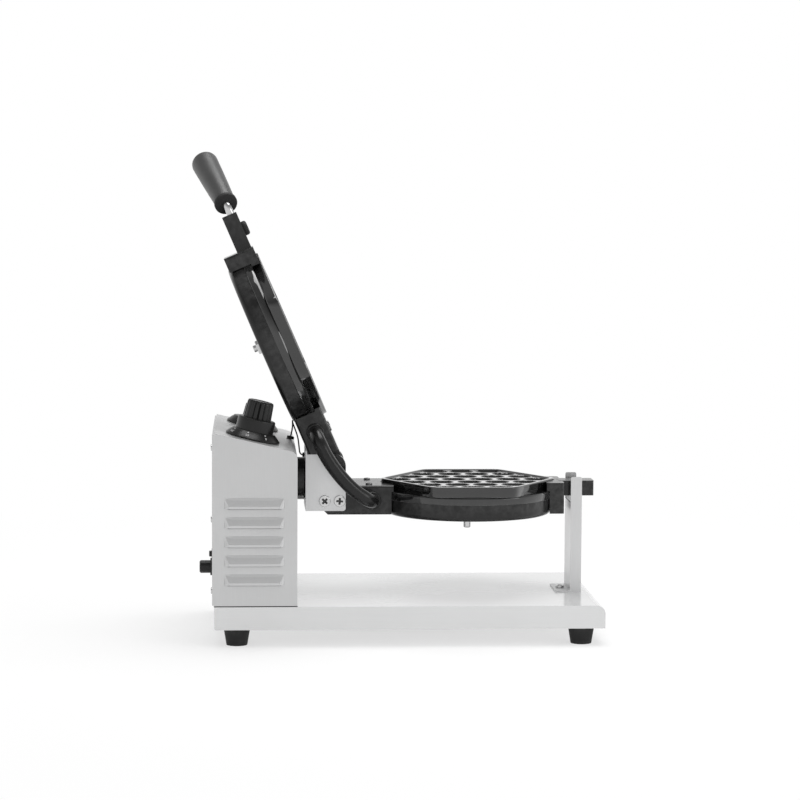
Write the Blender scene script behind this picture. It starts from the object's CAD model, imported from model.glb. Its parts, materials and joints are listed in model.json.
import json
from math import cos, hypot, pi, radians, sin, sqrt

import bmesh
import bpy
import numpy as np
from mathutils import Matrix, Vector


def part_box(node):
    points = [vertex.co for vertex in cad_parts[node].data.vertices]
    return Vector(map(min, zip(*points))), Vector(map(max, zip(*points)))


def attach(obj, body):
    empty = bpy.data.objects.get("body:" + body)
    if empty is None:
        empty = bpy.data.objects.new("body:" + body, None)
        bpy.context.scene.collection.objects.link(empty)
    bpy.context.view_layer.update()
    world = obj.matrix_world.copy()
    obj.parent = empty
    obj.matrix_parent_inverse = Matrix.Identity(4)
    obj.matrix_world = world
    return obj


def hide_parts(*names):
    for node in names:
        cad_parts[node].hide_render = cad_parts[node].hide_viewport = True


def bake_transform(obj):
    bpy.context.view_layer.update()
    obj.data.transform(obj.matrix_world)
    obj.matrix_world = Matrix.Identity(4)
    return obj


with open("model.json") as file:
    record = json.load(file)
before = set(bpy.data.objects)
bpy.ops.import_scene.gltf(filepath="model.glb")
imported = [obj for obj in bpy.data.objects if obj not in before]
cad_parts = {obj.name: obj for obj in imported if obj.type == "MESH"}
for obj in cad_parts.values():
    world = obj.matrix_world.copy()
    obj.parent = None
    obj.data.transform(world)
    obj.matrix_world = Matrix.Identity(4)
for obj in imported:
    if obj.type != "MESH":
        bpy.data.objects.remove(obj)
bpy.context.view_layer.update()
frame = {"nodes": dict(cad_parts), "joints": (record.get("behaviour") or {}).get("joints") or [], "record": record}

# Bubble waffle maker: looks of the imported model. Metres, in the model's own frame.
MM = 0.001
NODES = frame["nodes"]
JOINTS = {joint["name"]: joint for joint in frame["joints"]}

# Sizes shared by the pieces below, in millimetres
TURN_Z = 164.2
MOULD_X = 68.5
MOULD_GAP = 0.5
SHELL_LOW = 127.1
BOX_SIDE = 118.0
OPEN_ANGLE = radians(JOINTS["lid_hinge"]["range_deg"][1])
PIVOT = Vector(JOINTS["lid_hinge"]["pos_m"])


def lid_matrix():
    """Takes a piece of the lower side to its twin on the open lid."""
    mirror = Matrix.Diagonal((1, 1, -1, 1))
    mirror.translation = Vector((0, 0, (2 * TURN_Z + MOULD_GAP) * MM))
    turn = Matrix.Rotation(-OPEN_ANGLE, 4, "Y")
    return Matrix.Translation(PIVOT) @ turn @ Matrix.Translation(-PIVOT) @ mirror


def opened_matrix():
    """Takes a piece drawn on the closed lid to where the open lid has it."""
    turn = Matrix.Rotation(-OPEN_ANGLE, 4, "Y")
    return Matrix.Translation(PIVOT) @ turn @ Matrix.Translation(-PIVOT)


# Node groups shared by the materials


def socket(tree, name, kind, way, value=None):
    """One named input or output of a node group."""
    made = tree.interface.new_socket(name, in_out=way, socket_type=kind)
    if value is not None:
        made.default_value = value
    return made


def new_group(name, inputs, outputs):
    """Empty shader group with named sockets: gives the tree, its input and its output node."""
    tree = bpy.data.node_groups.new(name, "ShaderNodeTree")
    for label, kind, value in inputs:
        socket(tree, label, kind, "INPUT", value)
    for label, kind in outputs:
        socket(tree, label, kind, "OUTPUT")
    return tree, tree.nodes.new("NodeGroupInput"), tree.nodes.new("NodeGroupOutput")


def math_node(tree, operation, first, second):
    """Math node fed by links or plain numbers."""
    node = tree.nodes.new("ShaderNodeMath")
    node.operation = operation
    for index, value in enumerate((first, second)):
        if isinstance(value, (int, float)):
            node.inputs[index].default_value = value
        else:
            tree.links.new(value, node.inputs[index])
    return node.outputs[0]


def ramp_node(tree, value, low, high):
    """Map Range from low..high to 0..1, clamped."""
    node = tree.nodes.new("ShaderNodeMapRange")
    tree.links.new(value, node.inputs["Value"])
    node.inputs["From Min"].default_value = low
    node.inputs["From Max"].default_value = high
    return node.outputs["Result"]


def noise_node(tree, vector, scale, detail, rough=0.5):
    """Noise texture; scale is a link or a number."""
    node = tree.nodes.new("ShaderNodeTexNoise")
    tree.links.new(vector, node.inputs["Vector"])
    node.inputs["Detail"].default_value = detail
    node.inputs["Roughness"].default_value = rough
    if isinstance(scale, (int, float)):
        node.inputs["Scale"].default_value = scale
    else:
        tree.links.new(scale, node.inputs["Scale"])
    return node.outputs["Fac"]


def object_vector(tree):
    """Object coordinates, which every piece has without an unwrap."""
    return tree.nodes.new("ShaderNodeTexCoord").outputs["Object"]


def make_brushed_group():
    """Fine brush lines along one axis, as a height and a tone."""
    tree, given, out = new_group(
        "brush lines",
        [("Stretch", "NodeSocketVector", (1.0, 1.0, 1.0)), ("Scale", "NodeSocketFloat", 900.0)],
        [("Height", "NodeSocketFloat"), ("Tone", "NodeSocketFloat")],
    )
    mapped = tree.nodes.new("ShaderNodeVectorMath")
    mapped.operation = "MULTIPLY"
    tree.links.new(object_vector(tree), mapped.inputs[0])
    tree.links.new(given.outputs["Stretch"], mapped.inputs[1])
    lines = noise_node(tree, mapped.outputs[0], given.outputs["Scale"], 3.0, 0.6)
    broad = noise_node(tree, object_vector(tree), 9.0, 2.0)
    tree.links.new(lines, out.inputs["Height"])
    fine = math_node(tree, "MULTIPLY", lines, 0.6)
    tree.links.new(math_node(tree, "ADD", fine, broad), out.inputs["Tone"])
    return tree


def make_grain_group():
    """Cast or moulded grain: fine bumps over soft unevenness."""
    tree, given, out = new_group(
        "cast grain",
        [("Fine scale", "NodeSocketFloat", 1200.0), ("Broad scale", "NodeSocketFloat", 60.0)],
        [("Height", "NodeSocketFloat"), ("Mottle", "NodeSocketFloat")],
    )
    fine = noise_node(tree, object_vector(tree), given.outputs["Fine scale"], 4.0, 0.65)
    broad = noise_node(tree, object_vector(tree), given.outputs["Broad scale"], 2.0)
    uneven = math_node(tree, "MULTIPLY", broad, 0.5)
    tree.links.new(math_node(tree, "ADD", fine, uneven), out.inputs["Height"])
    tree.links.new(broad, out.inputs["Mottle"])
    return tree


def make_wear_group():
    """Mask of rubbed edges, broken up by noise."""
    tree, given, out = new_group(
        "rubbed edges",
        [("Amount", "NodeSocketFloat", 0.5), ("Break scale", "NodeSocketFloat", 150.0)],
        [("Mask", "NodeSocketFloat")],
    )
    point = tree.nodes.new("ShaderNodeNewGeometry").outputs["Pointiness"]
    edge = ramp_node(tree, point, 0.52, 0.60)
    patches = noise_node(tree, object_vector(tree), given.outputs["Break scale"], 3.0)
    broken = math_node(tree, "MULTIPLY", edge, ramp_node(tree, patches, 0.35, 0.65))
    mask = math_node(tree, "MULTIPLY", broken, given.outputs["Amount"])
    tree.links.new(mask, out.inputs["Mask"])
    return tree


def make_dust_group():
    """Thin dust on surfaces that look up, and soft handling smears."""
    tree, given, out = new_group(
        "dust and smears",
        [("Dust", "NodeSocketFloat", 0.1), ("Smear scale", "NodeSocketFloat", 14.0)],
        [("Dust", "NodeSocketFloat"), ("Smear", "NodeSocketFloat")],
    )
    split = tree.nodes.new("ShaderNodeSeparateXYZ")
    tree.links.new(tree.nodes.new("ShaderNodeNewGeometry").outputs["Normal"], split.inputs[0])
    up = ramp_node(tree, split.outputs["Z"], 0.3, 1.0)
    cloud = ramp_node(tree, noise_node(tree, object_vector(tree), 45.0, 4.0), 0.3, 0.75)
    settled = math_node(tree, "MULTIPLY", up, cloud)
    dusty = math_node(tree, "MULTIPLY", settled, given.outputs["Dust"])
    wiped = noise_node(tree, object_vector(tree), given.outputs["Smear scale"], 3.0)
    tree.links.new(dusty, out.inputs["Dust"])
    tree.links.new(ramp_node(tree, wiped, 0.3, 0.7), out.inputs["Smear"])
    return tree


BRUSHED = make_brushed_group()
GRAIN = make_grain_group()
WEAR = make_wear_group()
DUST = make_dust_group()


class Finish:
    """One material being built: its tree, its Principled BSDF and small helpers."""

    def __init__(self, name, metallic=0.0):
        self.material = bpy.data.materials.new(name)
        self.material.use_nodes = True
        self.tree = self.material.node_tree
        self.shader = self.tree.nodes["Principled BSDF"]
        self.shader.inputs["Metallic"].default_value = metallic

    def group(self, tree, **values):
        """Shared node group, with this material's own values."""
        node = self.tree.nodes.new("ShaderNodeGroup")
        node.node_tree = tree
        for key, value in values.items():
            node.inputs[key.replace("_", " ")].default_value = value
        return node

    def mix(self, factor, first, second):
        """Colour mix. Colours are tuples or links."""
        node = self.tree.nodes.new("ShaderNodeMix")
        node.data_type = "RGBA"
        self.tree.links.new(factor, node.inputs["Factor"])
        for index, value in ((6, first), (7, second)):
            if isinstance(value, tuple):
                node.inputs[index].default_value = (*value, 1.0)
            else:
                self.tree.links.new(value, node.inputs[index])
        return node.outputs[2]

    def colour(self, link):
        """Feeds the base colour."""
        self.tree.links.new(link, self.shader.inputs["Base Color"])

    def roughness(self, factor, low, high):
        """Roughness from low to high where the factor goes from 0 to 1."""
        node = self.tree.nodes.new("ShaderNodeMapRange")
        self.tree.links.new(factor, node.inputs["Value"])
        node.inputs["To Min"].default_value = low
        node.inputs["To Max"].default_value = high
        self.tree.links.new(node.outputs["Result"], self.shader.inputs["Roughness"])

    def bump(self, height, strength, distance=0.0001):
        """Fine relief that a mesh wouldn't carry."""
        node = self.tree.nodes.new("ShaderNodeBump")
        node.inputs["Strength"].default_value = strength
        node.inputs["Distance"].default_value = distance
        self.tree.links.new(height, node.inputs["Height"])
        self.tree.links.new(node.outputs["Normal"], self.shader.inputs["Normal"])


def grey(value, warm=0.0):
    """Neutral colour, a touch warm or cool."""
    return (value * (1 + warm), value, value * (1 - warm))


def brushed_metal(name, dark, light, low, high, stretch, dust, metallic):
    """Stainless sheet: brush lines, smears and thin dust."""
    finish = Finish(name, metallic)
    lines = finish.group(BRUSHED, Stretch=stretch)
    soil = finish.group(DUST, Dust=dust)
    tone = finish.mix(lines.outputs["Tone"], grey(dark), grey(light, -0.004))
    finish.colour(finish.mix(soil.outputs["Dust"], tone, grey(0.55, 0.03)))
    finish.roughness(soil.outputs["Smear"], low, high)
    finish.bump(lines.outputs["Height"], 0.12, 0.00005)
    return finish.material


def cast_black(name, dark, light, low, high, grain, worn, scale=1200.0, gloss=0.35, coat=0.0):
    """Black coated casting: grain, rubbed edges and thin dust."""
    finish = Finish(name)
    finish.shader.inputs["Specular IOR Level"].default_value = gloss
    finish.shader.inputs["Coat Weight"].default_value = coat
    finish.shader.inputs["Coat Roughness"].default_value = 0.05
    skin = finish.group(GRAIN, Fine_scale=scale)
    soil = finish.group(DUST, Dust=0.015)
    edges = finish.group(WEAR, Amount=worn)
    tone = finish.mix(skin.outputs["Mottle"], grey(dark), grey(light))
    rubbed = finish.mix(edges.outputs["Mask"], tone, grey(0.16))
    finish.colour(finish.mix(soil.outputs["Dust"], rubbed, grey(0.24, 0.03)))
    finish.roughness(soil.outputs["Smear"], low, high)
    finish.bump(skin.outputs["Height"], grain)
    return finish.material


def polished_steel(name, value, low, high):
    """Plated fastener or rod: bright, with hairline smears."""
    finish = Finish(name, 1.0)
    skin = finish.group(GRAIN, Fine_scale=700.0, Broad_scale=220.0)
    soil = finish.group(DUST, Dust=0.05, Smear_scale=90.0)
    finish.colour(finish.mix(skin.outputs["Mottle"], grey(value * 0.86), grey(value)))
    finish.roughness(soil.outputs["Smear"], low, high)
    finish.bump(skin.outputs["Height"], 0.06)
    return finish.material


# Each finish: name, darkest and lightest tone, smoothest and roughest, then its own surface
MATERIALS = {
    "polished_stainless": brushed_metal(
        "tray stainless", 0.65, 0.72, 0.10, 0.17, stretch=(0.03, 1, 1), dust=0.006, metallic=0.5
    ),
    "box_steel": brushed_metal(
        "box sheet", 0.53, 0.60, 0.30, 0.40, stretch=(1, 1, 0.04), dust=0.008, metallic=0.55
    ),
    "bracket_steel": brushed_metal(
        "bracket sheet", 0.55, 0.64, 0.28, 0.38, stretch=(1, 1, 0.05), dust=0.008, metallic=0.75
    ),
    "screw_steel": polished_steel("plated screws", 0.62, 0.14, 0.24),
    "black_casting": cast_black(
        "black casting", 0.007, 0.010, 0.27, 0.33, grain=0.2, worn=0.2, gloss=0.2, coat=0.35
    ),
    "mould_coating": cast_black(
        "non-stick coating", 0.006, 0.010, 0.06, 0.10,
        grain=0.02, worn=0.3, scale=2200.0, gloss=0.4, coat=0.9,
    ),
    "foot_rubber": cast_black("foot rubber", 0.010, 0.018, 0.62, 0.78, grain=0.4, worn=0.1),
    "dial_plastic": cast_black(
        "dial plastic", 0.006, 0.010, 0.26, 0.38, grain=0.15, worn=0.15, scale=3000.0
    ),
    "grip_plastic": cast_black(
        "grip plastic", 0.045, 0.065, 0.34, 0.46, grain=0.2, worn=0.12, scale=1800.0
    ),
    "inner_plastic": cast_black(
        "inner plastic", 0.50, 0.58, 0.45, 0.60, grain=0.1, worn=0.0, scale=900.0
    ),
    "screw_recess": polished_steel("screw recess", 0.10, 0.35, 0.5),
    "arm_screw": polished_steel("blackened screws", 0.22, 0.25, 0.4),
    "heater_steel": polished_steel("heater sheath", 0.34, 0.35, 0.55),
    "hose_black": cast_black(
        "hose jacket", 0.006, 0.011, 0.18, 0.30, grain=0.10, worn=0.1, scale=900.0
    ),
}


def dress_nodes():
    """Gives each carried-over node the material of its slot."""
    slots = {part["node"]: part["material_slot"] for part in frame["record"]["subparts"]}
    for name, obj in NODES.items():
        obj.data.materials.clear()
        obj.data.materials.append(MATERIALS[slots[name]])


# Mesh helpers


def new_piece(name, verts, faces, material, body, slot, smooth_angle=35.0):
    """Mesh piece with clean normals and one material, on its body unless that is None."""
    mesh = bpy.data.meshes.new(name)
    mesh.from_pydata([tuple(v) for v in verts], [], faces)
    work = bmesh.new()
    work.from_mesh(mesh)
    bmesh.ops.remove_doubles(work, verts=work.verts, dist=1e-7)
    bmesh.ops.recalc_face_normals(work, faces=work.faces)
    work.to_mesh(mesh)
    work.free()
    mesh.materials.append(material)
    mesh.shade_smooth()
    mesh.set_sharp_from_angle(angle=radians(smooth_angle))
    obj = bpy.data.objects.new(name, mesh)
    bpy.context.scene.collection.objects.link(obj)
    if body is not None:
        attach(obj, body)
    return obj


def join_parts(parts):
    """Joins lists of (verts, faces) into one."""
    verts, faces = [], []
    for some_verts, some_faces in parts:
        start = len(verts)
        verts.extend(some_verts)
        faces.extend([[index + start for index in face] for face in some_faces])
    return verts, faces


def rings_to_mesh(rings, close_start=True, close_end=True):
    """Skins closed rings of equal count, and caps the ends with fans."""
    count = len(rings[0])
    verts = [v for ring in rings for v in ring]
    faces = []
    for row in range(len(rings) - 1):
        here, over = row * count, (row + 1) * count
        for column in range(count):
            after = (column + 1) % count
            faces.append([here + column, here + after, over + after, over + column])
    for wanted, row in ((close_start, 0), (close_end, len(rings) - 1)):
        if wanted:
            middle = sum((Vector(v) for v in rings[row]), Vector()) / count
            verts.append(middle)
            hub, here = len(verts) - 1, row * count
            faces.extend([[here + c, here + (c + 1) % count, hub] for c in range(count)])
    return verts, faces


def lathe(profile, place, segments=64, closed=True):
    """Turns (radius, height) points in millimetres about the z axis of a placing matrix."""
    rings = []
    for radius, height in profile:
        ring = []
        for step in range(segments):
            angle = 2 * pi * step / segments
            spot = Vector((radius * cos(angle) * MM, radius * sin(angle) * MM, height * MM))
            ring.append(place @ spot)
        rings.append(ring)
    return rings_to_mesh(rings, closed, closed)


def placed(origin, normal, along=(1, 0, 0)):
    """Matrix with its origin in metres, z along normal and x near along."""
    z = Vector(normal).normalized()
    x = (Vector(along) - z * Vector(along).dot(z)).normalized()
    y = z.cross(x)
    matrix = Matrix((x, y, z)).transposed().to_4x4()
    matrix.translation = Vector(origin)
    return matrix


# Moulds: sizes in millimetres

CELL_PITCH = 30.0
CELL_ROWS = (3, 4, 5, 6, 5, 4, 3)
CUP_RADIUS = 13.1
CUP_DEPTH = 10.5
LIP_SOFTNESS = 0.45
RIM_WIDTH = 4.0
RIM_FOOT = 0.7
WEB_DROP = 1.4
VERTEX_REACH = 96.5
FLAT_REACH = 91.5
# The higher, the sharper the six corners
CORNER_POWER = 28
BOSS_HEIGHT = 11.2
DISC_RADIUS = 92.5
DISC_HEIGHT = 8.5
MESH_AROUND = 480
MESH_ACROSS = 116


def outline_radius(angle, inset):
    """Radius of the rounded six-sided outline at an angle, drawn in by inset."""
    slope_reach = VERTEX_REACH * cos(pi / 6)
    total = 0.0
    for step in range(6):
        facing = pi / 6 + step * pi / 3
        reach = FLAT_REACH if step % 3 == 1 else slope_reach
        toward = cos(angle - facing)
        if toward > 0:
            total += (toward / (reach - inset)) ** CORNER_POWER
    return total ** (-1 / CORNER_POWER)


def cup_centres():
    """Middles of the cups, about the middle of the mould."""
    row_pitch = CELL_PITCH * sqrt(3) / 2
    middle = (len(CELL_ROWS) - 1) / 2
    return [
        ((column - (count - 1) / 2) * CELL_PITCH, (row - middle) * row_pitch)
        for row, count in enumerate(CELL_ROWS)
        for column in range(count)
    ]


def cup_sink(x, y, centres):
    """Depth of the cups below the web, with a soft lip."""
    near = np.min(np.hypot(centres[:, 0] - x, centres[:, 1] - y))
    ball = (CUP_RADIUS**2 + CUP_DEPTH**2) / (2 * CUP_DEPTH)
    inside = sqrt(max(ball**2 - near**2, 0.0)) - (ball - CUP_DEPTH)
    return (inside + sqrt(inside**2 + LIP_SOFTNESS**2)) / 2


def mould_mesh():
    """Six-sided boss with its cups, over a round disc, in millimetres from the mould's middle."""
    centres = np.array(cup_centres())
    angles = [2 * pi * step / MESH_AROUND for step in range(MESH_AROUND)]
    web = [outline_radius(angle, RIM_WIDTH + RIM_FOOT) for angle in angles]
    rings = []
    for row in range(1, MESH_ACROSS + 1):
        ring = []
        for angle, reach in zip(angles, web):
            x = reach * row / MESH_ACROSS * cos(angle)
            y = reach * row / MESH_ACROSS * sin(angle)
            ring.append((x, y, -WEB_DROP - cup_sink(x, y, centres)))
        rings.append(ring)
    rim = [
        (4.2, -1.3), (3.9, -0.9), (3.75, -0.35), (3.4, -0.05),
        (2.9, 0.0), (1.0, 0.0), (0.45, -0.12), (0.1, -0.5),
    ]
    wall = [
        (0.0, -1.0), (0.0, -5.0), (0.0, 0.6 - BOSS_HEIGHT),
        (0.2, 0.2 - BOSS_HEIGHT), (0.8, -0.2 - BOSS_HEIGHT),
    ]
    for inset, height in rim + wall:
        reach = [outline_radius(angle, inset) for angle in angles]
        rings.append([(r * cos(a), r * sin(a), height) for r, a in zip(reach, angles)])
    boss = rings_to_mesh([[Vector(v) for v in ring] for ring in rings])
    low, reach = -BOSS_HEIGHT - DISC_HEIGHT, DISC_RADIUS
    profile = [
        (4.2, low), (reach - 0.7, low), (reach - 0.2, low + 0.2), (reach, low + 0.7),
        (reach, low + 6.4), (reach - 0.25, low + 7.2), (reach - 1.2, low + DISC_HEIGHT),
        (reach - 14, low + DISC_HEIGHT + 0.02),
    ]
    # The lathe gives metres, and this mesh stays in millimetres
    disc = lathe(profile, Matrix.Scale(1 / MM, 4), 192)
    return join_parts([boss, disc])


def make_moulds():
    """Lower mould, and its twin on the lid."""
    verts, faces = mould_mesh()
    base = Matrix.Translation(Vector((MOULD_X, 0, TURN_Z)) * MM) @ Matrix.Scale(MM, 4)
    for name, node, body, move in (
        ("honeycomb_lower", "lower_mould", "mould_carrier", base),
        ("honeycomb_upper", "upper_mould", "lid", lid_matrix() @ base),
    ):
        moved = [move @ Vector(v) for v in verts]
        coating = MATERIALS["mould_coating"]
        piece = new_piece(name, moved, faces, coating, body, "mould_coating", 50)
        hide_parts(node)


# Screws: radius and height of the head, radius and length of the shank, in millimetres

BRACKET_SCREW = (6.2, 2.6, 3.0, 11.5)
ARM_SCREW = (3.5, 1.8, 2.0, 7.0)
HUB_SCREW = (3.2, 1.5, 1.8, 6.2)
COVER_SCREW = (3.4, 1.6, 1.9, 7.0)
POST_SCREW = (4.6, 2.4, 2.5, 8.7)
HUB_FACE_X = -118.6
ARM_SCREW_X = -40.0
ARM_SCREW_Y = 24.0
ARM_DROP = 4.2


def cross_recess(x, y, radius):
    """How deep a cross recess is at a point of a screw's head, 0 to 1."""
    arm, half = radius * 0.56, radius * 0.13
    reach = hypot(x, y)
    if reach > arm:
        return 0.0
    off_axis = min(abs(x), abs(y))
    wall = max(0.0, min(1.0, (half * 1.35 - off_axis) / (half * 0.7)))
    return wall * (1.0 - 0.45 * reach / arm)


def turned_point(x, y, angle):
    """Point turned about the origin."""
    return x * cos(angle) - y * sin(angle), x * sin(angle) + y * cos(angle)


def pan_head(place, radius, height, turned):
    """Pan head with a cross recess, on a placing matrix at its seat."""
    segments, steps = 64, 20
    rings = []
    for step in range(1, steps + 1):
        r = radius * 0.93 * step / steps
        ring = []
        for k in range(segments):
            a = 2 * pi * k / segments
            x, y = r * cos(a), r * sin(a)
            dome = height * (1 - 0.22 * (r / radius) ** 2)
            sink = height * 0.75 * cross_recess(*turned_point(x, y, turned), radius)
            ring.append(place @ Vector((x * MM, y * MM, (dome - sink) * MM)))
        rings.append(ring)
    for r, h in ((0.98, 0.66), (1.0, 0.50), (1.0, 0.04), (0.97, 0.0)):
        ring = []
        for k in range(segments):
            a = 2 * pi * k / segments
            side = Vector((radius * r * cos(a) * MM, radius * r * sin(a) * MM, height * h * MM))
            ring.append(place @ side)
        rings.append(ring)
    return rings_to_mesh(rings)


def shank(place, radius, length):
    """Plain shank below a screw's seat."""
    return lathe([(radius, 0.0), (radius, 0.6 - length), (radius - 0.5, -length)], place, 24)


def screw_set(name, node, body, seats, normals, size, move=None, finish="screw_steel"):
    """Set of screws that stands for a CAD node. Seats are in metres."""
    radius, height, shank_radius, length = size
    parts, places = [], []
    for index, (seat, normal) in enumerate(zip(seats, normals)):
        place = placed(seat, normal, (0.3, 0.5, 0.8))
        if move is not None:
            place = move @ place
        turned = 0.4 + 0.9 * index
        parts.append(pan_head(place, radius, height, turned))
        parts.append(shank(place, shank_radius, length))
        places.append((place.inverted(), turned))
    verts, faces = join_parts(parts)
    piece = new_piece(name, verts, faces, MATERIALS[finish], body, "screw_steel", 40)
    piece.data.materials.append(MATERIALS["screw_recess"])
    for face in piece.data.polygons:
        for back, turned in places:
            x, y, z = back @ face.center / MM
            depth = cross_recess(*turned_point(x, y, turned), radius)
            if 0 < z < height and depth > 0.3:
                face.material_index = 1
    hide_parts(node)


def make_screws():
    """Every screw that shows, each set in place of its node."""
    low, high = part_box("bracket_screws")
    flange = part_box("hinge_bracket")[1].y
    inset = BRACKET_SCREW[0] * MM
    z = (low.z + high.z) / 2
    seats = [(x, side * flange, z) for side in (-1, 1) for x in (low.x + inset, high.x - inset)]
    facing = [(0, -1, 0), (0, -1, 0), (0, 1, 0), (0, 1, 0)]
    screw_set("bracket_cross_screws", "bracket_screws", "mould_carrier", seats, facing, BRACKET_SCREW)
    seats = [(ARM_SCREW_X * MM, y * MM, (TURN_Z - ARM_DROP) * MM) for y in (-ARM_SCREW_Y, ARM_SCREW_Y)]
    for name, node, body, move in (
        ("lower_arm_cross_screws", "lower_arm_screws", "mould_carrier", None),
        ("upper_arm_cross_screws", "upper_arm_screws", "lid", lid_matrix()),
    ):
        screw_set(name, node, body, seats, [(0, 0, 1)] * 2, ARM_SCREW, move, "arm_screw")
    low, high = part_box("hub_screws")
    inset = HUB_SCREW[0] * MM
    across = (low.y + inset, high.y - inset)
    up = (low.z + inset, high.z - inset)
    seats = [(HUB_FACE_X * MM, y, z) for y in across for z in up]
    screw_set("hub_cross_screws", "hub_screws", "base_unit", seats, [(1, 0, 0)] * 4, HUB_SCREW)
    low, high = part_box("cover_screws")
    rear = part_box("back_cover")[0].x
    inset = COVER_SCREW[0] * MM
    up = (low.z + inset, (low.z + high.z) / 2, high.z - inset)
    seats = [(rear, y, z) for y in (low.y + inset, high.y - inset) for z in up]
    screw_set("cover_cross_screws", "cover_screws", "base_unit", seats, [(-1, 0, 0)] * 6, COVER_SCREW)
    low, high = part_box("post_screw")
    seat = ((low.x + high.x) / 2, 0, high.z - POST_SCREW[1] * MM)
    screw_set("post_cross_screw", "post_screw", "base_unit", [seat], [(0, 0, 1)], POST_SCREW)


# Dials: radius and height of each point of a profile, in millimetres above the skirt's foot

SKIRT = ((28.2, 0.0), (29.0, 0.5), (29.0, 1.3), (28.6, 1.8), (22.6, 7.5), (21.9, 8.0), (20.0, 8.15))
COLLAR = ((20.0, 8.15), (20.0, 19.4), (19.7, 20.5), (19.0, 21.1), (18.0, 21.3), (13.2, 21.3))
TIMER_STEM = ((2.9, -14.0), (2.9, 15.0), (2.4, 15.5))
SKIRT_GAP = 0.4
SKIRT_SLOPE = (0.6889, 0, 0.7249)
FLUTES = 16
FLUTE_DEPTH = 1.3
# Radius, height and seat of each fluted knob: the far dial has no collar under it
KNOBS = {"thermostat": (14.8, 18.6, 21.3), "timer": (13.5, 15.6, 8.1)}
SCALES = {
    "thermostat": ("0", "50", "100", "150", "200", "250", "300"),
    "timer": ("0", "1", "2", "3", "4", "5"),
}
SCALE_START = radians(-60)
SCALE_SWEEP = radians(270)
DOT_AT = (23.6, 6.55)
DIGIT_AT = (26.6, 3.7)
DIGIT_SIZE = 4.2
PRINT_LIFT = 0.09


def dial_place(name):
    """Placing matrix at the foot of a dial's skirt, z along its shaft."""
    joint = JOINTS[f"{name}_turn"]
    normal = Vector(joint["axis"])
    return placed(Vector(joint["pos_m"]) + normal * SKIRT_GAP * MM, normal)


def knob_mesh(place, radius, height, seat):
    """Fluted knob, slightly drafted, with a rounded top and a dished middle."""
    segments = FLUTES * 10
    levels = (
        (0.0, 1.0, 1.0), (0.06, 1.0, 1.0), (0.85, 0.945, 1.0), (0.94, 0.925, 0.8),
        (0.985, 0.87, 0.3), (1.0, 0.80, 0.0), (0.975, 0.72, 0.0), (0.97, 0.30, 0.0),
    )
    rings = []
    for level, scale, cut in levels:
        ring = []
        for k in range(segments):
            a = 2 * pi * k / segments
            r = radius * scale - max(0.0, cos(a * FLUTES)) ** 2 * FLUTE_DEPTH * cut
            spot = Vector((r * cos(a) * MM, r * sin(a) * MM, (seat + height * level) * MM))
            ring.append(place @ spot)
        rings.append(ring)
    return rings_to_mesh(rings)


def text_mesh(body, size):
    """Verts and faces of a flat text, centred, in millimetres of the given size."""
    curve = bpy.data.curves.new("digits", "FONT")
    curve.body = body
    curve.size = size
    curve.align_x = "CENTER"
    curve.align_y = "CENTER"
    curve.resolution_u = 3
    obj = bpy.data.objects.new("digits", curve)
    mesh = bpy.data.meshes.new_from_object(obj)
    verts = [Vector(v.co) for v in mesh.vertices]
    faces = [list(p.vertices) for p in mesh.polygons]
    bpy.data.objects.remove(obj)
    bpy.data.curves.remove(curve)
    bpy.data.meshes.remove(mesh)
    return verts, faces


def scale_marks(place, labels):
    """White dots and plain numbers printed on a skirt's slope."""
    parts = []
    for index, label in enumerate(labels):
        angle = SCALE_START - SCALE_SWEEP * index / (len(labels) - 1)
        turn = Matrix.Rotation(angle, 4, "Z")
        flat, digit_faces = text_mesh(label, DIGIT_SIZE)
        digits = [v * MM + Vector((0, 0, 0.02 * MM)) for v in flat]
        dot = lathe([(0.75, 0.0), (0.7, 0.08)], Matrix.Identity(4), 20)
        for (radius, height), (verts, faces) in ((DOT_AT, dot), (DIGIT_AT, (digits, digit_faces))):
            out = Vector((radius + PRINT_LIFT, 0, height + PRINT_LIFT)) * MM
            spot = placed(out, SKIRT_SLOPE, (0, 1, 0))
            parts.append(([place @ turn @ spot @ Vector(v) for v in verts], faces))
    return join_parts(parts)


def white_print():
    """Printed white ink, slightly uneven."""
    finish = Finish("white print")
    skin = finish.group(GRAIN, Fine_scale=2500.0, Broad_scale=400.0)
    finish.colour(finish.mix(skin.outputs["Mottle"], grey(0.62), grey(0.78)))
    finish.roughness(skin.outputs["Mottle"], 0.45, 0.6)
    finish.bump(skin.outputs["Height"], 0.05)
    return finish.material


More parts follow.
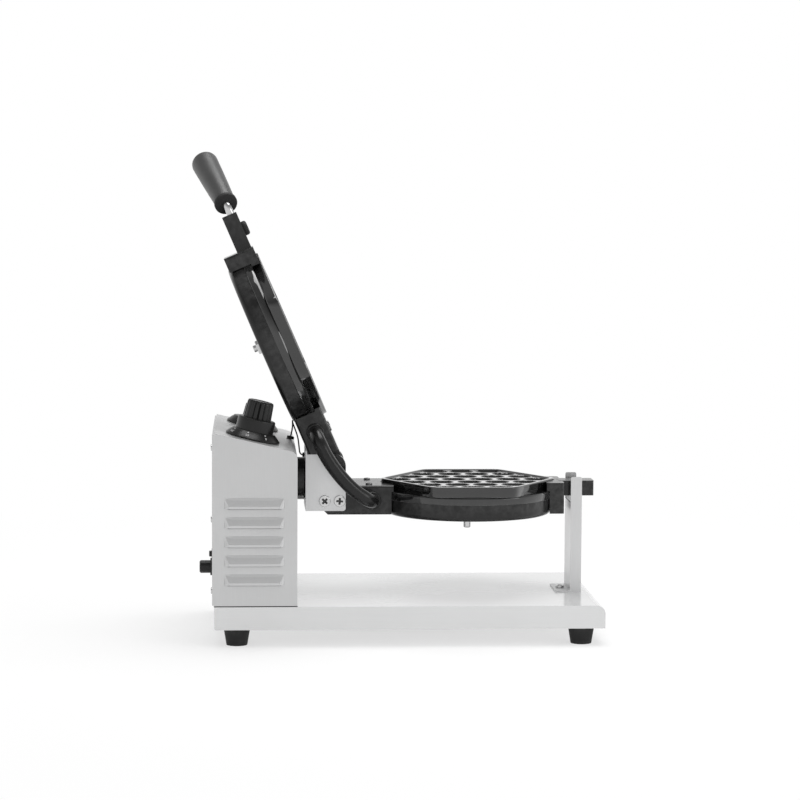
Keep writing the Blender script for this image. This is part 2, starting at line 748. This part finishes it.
def make_dials():
    """Skirt, collar and fluted knob of each dial, with its scale."""
    ink = white_print()
    plastic = MATERIALS["dial_plastic"]
    for name, labels in SCALES.items():
        place = dial_place(name)
        body = f"{name}_dial"
        radius, height, seat = KNOBS[name]
        collar = COLLAR[1:] if seat > SKIRT[-1][1] else ()
        verts, faces = lathe([*SKIRT, *collar, (12.0, seat - 0.1)], place, 128)
        skirt = new_piece(f"{name}_scale_ring", verts, faces, plastic, body, "dial_plastic", 32)
        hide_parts(f"{name}_skirt")
        verts, faces = knob_mesh(place, radius, height, seat)
        knob = new_piece(f"{name}_fluted_knob", verts, faces, plastic, body, "dial_plastic", 40)
        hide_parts(f"{name}_knob")
        verts, faces = scale_marks(place, labels)
        new_piece(f"{name}_scale_marks", verts, faces, ink, body, "dial_plastic", 30)
        mark_at = Matrix.Translation(Vector((radius * 0.68, 0, seat + height * 0.97)) * MM)
        mark = lathe([(0.6, 0.0), (0.55, 0.1)], place @ mark_at, 20)
        new_piece(f"{name}_pointer_dot", *mark, ink, body, "dial_plastic", 30)
    verts, faces = lathe(TIMER_STEM, dial_place("timer"), 32)
    steel = MATERIALS["screw_steel"]
    stem = new_piece("timer_stem", verts, faces, steel, "timer_dial", "screw_steel")
    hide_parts("timer_shaft")


# Control box louvres: sizes in millimetres

LOUVRES = 5
LOUVRE_TOP = 156.7
LOUVRE_PITCH = 20.0
LOUVRE_MIDDLE = 42.0
LOUVRE_HALF = 31.0
LOUVRE_TALL = 11.6
LOUVRE_DEEP = 3.0
LOUVRE_END = 7.5
LOUVRE_SKIN = 0.7
LOUVRE_LIFT = 0.12


def louvre_patch(side, top, middle_x):
    """Soft pressed hood, as a thin closed sheet."""
    columns, rows = 64, 18
    outer, inner = [], []
    for row in range(rows + 1):
        v = row / rows
        for column in range(columns + 1):
            u = -1 + 2 * column / columns
            past = max(0.0, (abs(u) * LOUVRE_HALF - (LOUVRE_HALF - LOUVRE_END)) / LOUVRE_END)
            end = max(0.0, 1 - past) ** 0.5 if abs(u) < 1 else 0.0
            height = LOUVRE_DEEP * end * min(1.0, v / 0.9)
            y = side * (BOX_SIDE + LOUVRE_LIFT + height)
            x = middle_x + u * LOUVRE_HALF
            z = top - v * LOUVRE_TALL
            outer.append(Vector((x, y, z)) * MM)
            inner.append(Vector((x, y - side * min(LOUVRE_SKIN, height + 0.1), z)) * MM)
    count = columns + 1
    verts = outer + inner
    shift = len(outer)
    faces = []
    for row in range(rows):
        for column in range(columns):
            a = row * count + column
            face = [a, a + 1, a + 1 + count, a + count]
            faces.append(face)
            faces.append([index + shift for index in reversed(face)])
    border = list(range(count))
    border += [r * count + columns for r in range(1, rows + 1)]
    border += [rows * count + c for c in range(columns - 1, -1, -1)]
    border += [r * count for r in range(rows - 1, 0, -1)]
    for a, b in zip(border, border[1:] + border[:1]):
        faces.append([a, b, b + shift, a + shift])
    return verts, faces


def make_louvres():
    """Soft hoods on each side of the box, over the pressed slots."""
    middle_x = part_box("control_box")[0].x / MM + LOUVRE_MIDDLE
    sheet = MATERIALS["box_steel"]
    for side, where in ((-1, "near"), (1, "far")):
        for row in range(LOUVRES):
            name = f"louvre_{where}_{row + 1}"
            verts, faces = louvre_patch(side, LOUVRE_TOP - LOUVRE_PITCH * row, middle_x)
            new_piece(name, verts, faces, sheet, "base_unit", "box_steel", 60)


# Handle: sizes in millimetres

# On the closed lid: where the rod turns, which way the grip then points, and its radii
LID_LUG_Z = 176.45
ROD_CORNER = Vector((221.4, 0, LID_LUG_Z - 2.0))
ROD_RADIUS = 4.2
GRIP_WAY = Vector((0.5254, 0.8475, 0.047)).normalized()
GRIP_START = 6.0
GRIP_LENGTH = 96.0
GRIP_NEAR_RADIUS = 11.1
GRIP_FAR_RADIUS = 14.6
GRIP_RING = (
    (4.05, -2.6), (11.3, -2.6), (12.1, -2.2), (12.5, -1.2), (12.5, 1.4), (12.0, 2.4), (10.9, 2.6)
)
BUMPER = ((7.6, -0.3), (7.9, 0.6), (7.9, 3.2), (7.2, 4.7), (5.6, 5.3), (0.5, 5.4))
BUMPER_X = 192.0
LUG_HALF = 8.15


def make_grip():
    """Tapered grip with its black end ring, and the rubber bumper on the lid's lug."""
    root = (ROD_CORNER + GRIP_WAY * GRIP_START) * MM
    place = opened_matrix() @ placed(root, GRIP_WAY, (0, 0, 1))
    near, flare = GRIP_NEAR_RADIUS, GRIP_FAR_RADIUS - GRIP_NEAR_RADIUS
    profile = [(4.1, 0.0), (near - 0.8, 0.0), (near - 0.3, 0.3), (near, 1.0)]
    for step in range(1, 12):
        share = step / 12
        swell = 0.2 * sin(pi * share)
        profile.append((near + flare * share + swell, 1.0 + (GRIP_LENGTH - 4.5) * share))
    for inset, back in ((0.0, 3.5), (0.3, 1.7), (1.1, 0.5), (2.5, 0.0)):
        profile.append((GRIP_FAR_RADIUS - inset, GRIP_LENGTH - back))
    profile.append((0.5, GRIP_LENGTH))
    verts, faces = lathe(profile, place, 96)
    plastic, rubber = MATERIALS["grip_plastic"], MATERIALS["foot_rubber"]
    grip = new_piece("tapered_grip", verts, faces, plastic, "lid", "grip_plastic", 40)
    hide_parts("grip")
    verts, faces = lathe(GRIP_RING, place, 72)
    ring = new_piece("grip_end_ring", verts, faces, rubber, "lid", "dial_plastic", 35)
    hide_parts("grip_ring")
    seat = placed(Vector((BUMPER_X, 0, LID_LUG_Z - LUG_HALF)) * MM, (0, 0, -1))
    verts, faces = lathe(BUMPER, opened_matrix() @ seat, 48)
    stop = new_piece("lid_bumper", verts, faces, rubber, "lid", "foot_rubber", 50)
    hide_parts("bumper")


def make_rod():
    """Bent plated rod from the lid's lug into the grip."""
    points = [ROD_CORNER - Vector((back, 0, 0)) for back in (23.6, 10.0, 0.0)]
    points += [ROD_CORNER + GRIP_WAY * ahead for ahead in (10.0, 70.0)]
    opened = opened_matrix()
    verts, faces = tube_along([opened @ (point * MM) for point in points], ROD_RADIUS * MM, 32)
    rod = new_piece("bent_rod", verts, faces, MATERIALS["screw_steel"], "lid", "screw_steel", 60)
    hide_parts("handle_rod")


def make_lid_stud():
    """Short clamp stud with its hexagon nut, on the back of the lid."""
    place = lid_matrix() @ placed(Vector((MOULD_X, 0, SHELL_LOW)) * MM, (0, 0, -1))
    nut = lathe([(7.0, -0.2), (7.4, 0.3), (7.4, 4.0), (6.6, 4.6), (3.8, 4.6)], place, 6)
    stub = lathe([(3.8, -10.0), (3.8, 7.7), (3.2, 8.4), (0.5, 8.5)], place, 40)
    verts, faces = join_parts([nut, stub])
    steel = MATERIALS["screw_steel"]
    stud = new_piece("lid_stud_and_nut", verts, faces, steel, "lid", "screw_steel", 30)
    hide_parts("upper_stud")


SEAM_Z = 42.2
SEAM_SECTION = ((-0.5, 0.05), (0.22, 0.05), (0.22, 1.0), (-0.5, 1.0))


def make_box_seam():
    """Dark strip that shows under the control box, on the tray."""
    low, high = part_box("control_box")
    x_low, x_high = low.x / MM, high.x / MM
    rings = []
    for out, up in SEAM_SECTION:
        corners = [(x_low - out, -1), (x_high + out, -1), (x_high + out, 1), (x_low - out, 1)]
        ring = [Vector((x, side * (BOX_SIDE + out), SEAM_Z + up)) * MM for x, side in corners]
        rings.append(ring)
    verts, faces = rings_to_mesh(rings + rings[:1], False, False)
    rubber = MATERIALS["foot_rubber"]
    new_piece("box_seam", verts, faces, rubber, "base_unit", "foot_rubber", 20)


# Conduit and lead: their points are set by hand, in metres

CONDUIT_RADIUS = 7.5
CONDUIT_STUB = 0.022
LEAD_RADIUS = 0.8


def tube_along(points, radius, segments, per_run=10):
    """Smooth tube of one radius along a NURBS line through hand-set points, in metres."""
    curve = bpy.data.curves.new("route", "CURVE")
    curve.dimensions = "3D"
    spline = curve.splines.new("NURBS")
    spline.points.add(len(points) - 1)
    for point, place in zip(spline.points, points):
        point.co = (*place, 1.0)
    spline.order_u = 3
    spline.use_endpoint_u = True
    spline.resolution_u = per_run
    holder = bpy.data.objects.new("route", curve)
    mesh = bpy.data.meshes.new_from_object(holder)
    path = [v.co.copy() for v in mesh.vertices]
    bpy.data.objects.remove(holder)
    bpy.data.curves.remove(curve)
    bpy.data.meshes.remove(mesh)
    side = Vector((0, 0, 1))
    rings = []
    for index, spot in enumerate(path):
        ahead = path[min(index + 1, len(path) - 1)]
        behind = path[max(index - 1, 0)]
        way = (ahead - behind).normalized()
        side = (side - way * side.dot(way)).normalized()
        up = way.cross(side)
        ring = []
        for k in range(segments):
            a = 2 * pi * k / segments
            ring.append(spot + (side * cos(a) + up * sin(a)) * radius)
        rings.append(ring)
    return rings_to_mesh(rings)


def make_conduit():
    """Fat glossy hose from the lid arm's side to the lower arm's side, which bends with the lid."""
    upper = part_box("upper_ferrule")
    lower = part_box("lower_ferrule")
    start = (upper[0] + upper[1]) / 2
    end = (lower[0] + lower[1]) / 2
    start.y, end.y = upper[0].y, lower[0].y
    points = [
        start + Vector((0, 0.002, 0)),
        start - Vector((0, CONDUIT_STUB, 0)),
        Vector((-0.085, -0.069, 0.189)),
        Vector((-0.061, -0.069, 0.160)),
        end - Vector((0, CONDUIT_STUB, 0)),
        end + Vector((0, 0.002, 0)),
    ]
    verts, faces = tube_along(points, CONDUIT_RADIUS * MM, 40, 14)
    jacket = MATERIALS["hose_black"]
    hose = new_piece("conduit_hose", verts, faces, jacket, None, "hose_black", 60)
    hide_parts("conduit")
    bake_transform(hose)


def make_lead():
    """Thin lead from its grommet to the clip on the hinge bracket, which bends with the roll."""
    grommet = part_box("lead_grommet")
    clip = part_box("lead_clip")
    start = (grommet[0] + grommet[1]) / 2 + Vector((0.0006, 0, 0.0026))
    end = Vector((clip[0].x, (clip[0].y + clip[1].y) / 2, (clip[0].z + clip[1].z) / 2))
    points = [
        start - Vector((0.0007, 0, 0.003)),
        start + Vector((0.0018, 0, 0.0075)),
        Vector((-0.1215, 0.023, 0.226)),
        Vector((-0.1215, 0.029, 0.222)),
        Vector((-0.1155, 0.033, 0.207)),
        end + Vector((-0.0035, 0.0015, 0.008)),
        end + Vector((-0.0028, 0, 0.001)),
        end + Vector((0.0008, 0, 0)),
    ]
    verts, faces = tube_along(points, LEAD_RADIUS * MM, 12, 8)
    jacket = MATERIALS["hose_black"]
    lead = new_piece("earth_lead_wire", verts, faces, jacket, None, "hose_black", 60)
    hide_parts("earth_lead")
    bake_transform(lead)


# Stage, light and camera: metres, and millimetres for the lens

FLOOR_SIZE = 14.0
PAPER_GLOW = 0.6
ROOM_LEVEL = 0.55
CEILING_LEVEL = 0.35
CAMERA_AT = Vector((-0.168, -2.704, 0.466))
AIM_AT = Vector((-0.0054, 0.0, 0.2492))
LENS = 112.7
CAMERA_ROLL = 0.0051


def make_camera():
    """Camera at the photograph's angle."""
    data = bpy.data.cameras.new("camera")
    data.lens = LENS
    data.sensor_width = 36.0
    data.clip_end = 50.0
    obj = bpy.data.objects.new("camera", data)
    obj.location = CAMERA_AT
    level = (AIM_AT - CAMERA_AT).to_track_quat("-Z", "Y").to_matrix()
    obj.rotation_euler = (level @ Matrix.Rotation(CAMERA_ROLL, 3, "Z")).to_euler()
    bpy.context.scene.collection.objects.link(obj)
    bpy.context.scene.camera = obj


def area_light(name, place, aim, size, power):
    """Large soft panel."""
    data = bpy.data.lights.new(name, "AREA")
    data.shape = "SQUARE"
    data.size = size
    data.energy = power
    obj = bpy.data.objects.new(name, data)
    obj.location = place
    obj.rotation_euler = (Vector(aim) - Vector(place)).to_track_quat("-Z", "Y").to_euler()
    bpy.context.scene.collection.objects.link(obj)


def floor_paper():
    """White paper that keeps a soft shadow near the object and runs into the white background."""
    finish = Finish("pale floor")
    finish.shader.inputs["Roughness"].default_value = 0.85
    finish.shader.inputs["Specular IOR Level"].default_value = 0.1
    skin = finish.group(GRAIN, Fine_scale=300.0, Broad_scale=3.0)
    finish.colour(finish.mix(skin.outputs["Mottle"], grey(0.93), grey(0.95)))
    tree = finish.tree
    paths = tree.nodes.new("ShaderNodeLightPath")
    seen = math_node(tree, "MAXIMUM", paths.outputs["Is Camera Ray"], paths.outputs["Is Glossy Ray"])
    length = tree.nodes.new("ShaderNodeVectorMath")
    length.operation = "LENGTH"
    tree.links.new(object_vector(tree), length.inputs[0])
    far = ramp_node(tree, length.outputs["Value"], 0.25, 1.1)
    added = math_node(tree, "MULTIPLY", far, 1 - PAPER_GLOW)
    share = math_node(tree, "ADD", added, PAPER_GLOW)
    glow = tree.nodes.new("ShaderNodeEmission")
    blend = tree.nodes.new("ShaderNodeMixShader")
    tree.links.new(math_node(tree, "MULTIPLY", seen, share), blend.inputs["Fac"])
    tree.links.new(finish.shader.outputs[0], blend.inputs[1])
    tree.links.new(glow.outputs[0], blend.inputs[2])
    tree.links.new(blend.outputs[0], tree.nodes["Material Output"].inputs["Surface"])
    return finish.material


def make_stage():
    """Plain pale floor, white surroundings and soft panels."""
    half = FLOOR_SIZE / 2
    mesh = bpy.data.meshes.new("floor")
    corners = [(-half, -half, 0), (half, -half, 0), (half, half, 0), (-half, half, 0)]
    mesh.from_pydata(corners, [], [(0, 1, 2, 3)])
    floor = bpy.data.objects.new("floor", mesh)
    bpy.context.scene.collection.objects.link(floor)
    mesh.materials.append(floor_paper())
    world = bpy.data.worlds.new("studio")
    world.use_nodes = True
    bpy.context.scene.world = world
    tree = world.node_tree
    paths = tree.nodes.new("ShaderNodeLightPath")
    way = tree.nodes.new("ShaderNodeSeparateXYZ")
    tree.links.new(tree.nodes.new("ShaderNodeTexCoord").outputs["Generated"], way.inputs[0])
    climb = ramp_node(tree, way.outputs["Z"], 0.16, 0.72)
    dimmed = math_node(tree, "MULTIPLY", climb, 1 - CEILING_LEVEL)
    over_room = math_node(tree, "SUBTRACT", math_node(tree, "SUBTRACT", 1.0, dimmed), ROOM_LEVEL)
    soft = math_node(tree, "MULTIPLY", paths.outputs["Is Glossy Ray"], over_room)
    unseen = math_node(tree, "ADD", soft, ROOM_LEVEL)
    background = tree.nodes["Background"]
    background.inputs["Color"].default_value = (1, 1, 1, 1)
    shown = math_node(tree, "MAXIMUM", paths.outputs["Is Camera Ray"], unseen)
    tree.links.new(shown, background.inputs["Strength"])
    area_light("panel above", (0.2, 0.3, 2.2), (0, 0, 0.2), 1.6, 34)
    area_light("panel right", (1.9, -1.2, 1.0), (0, 0, 0.2), 1.0, 9)


make_camera()
make_stage()
dress_nodes()
make_moulds()
make_screws()
make_dials()
make_louvres()
make_grip()
make_rod()
make_lid_stud()
make_box_seam()
make_conduit()
make_lead()

bpy.context.scene.view_settings.view_transform = "Standard"
